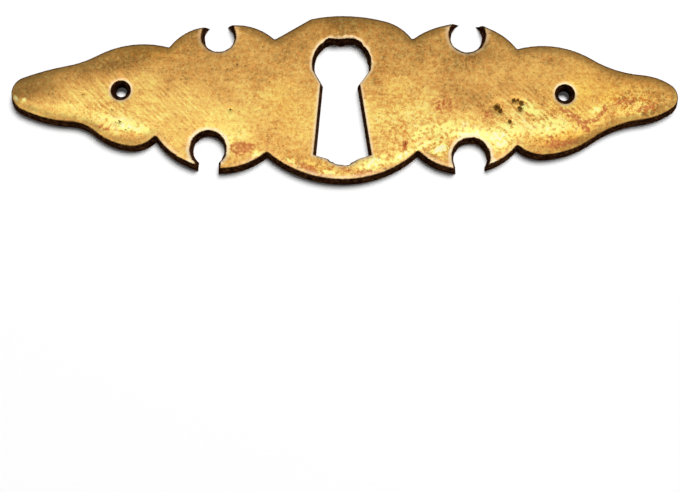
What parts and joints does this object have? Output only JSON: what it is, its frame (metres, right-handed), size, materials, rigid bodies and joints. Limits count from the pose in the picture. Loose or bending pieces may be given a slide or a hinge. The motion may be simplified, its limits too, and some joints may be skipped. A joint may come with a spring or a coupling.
{
  "type": "keyhole escutcheon",
  "caption": "Flat cast brass plate with winged ends, hooked notches and a keyhole, pinned over a lock's keyhole on a door or drawer front.",
  "frame": {"origin": "midway between the fixing holes, on the flat back face", "axes": "+X along the plate, +Y towards the round head of the keyhole, +Z out of the front face"},
  "size_m": [0.1016, 0.0264, 0.0025],
  "materials": {
    "brass": "worn, tarnished cast brass, brighter on the buffed face and dark brown on the walls"
  },
  "bodies": {
    "root": {"escutcheon": "brass"}
  },
  "joints": []
}
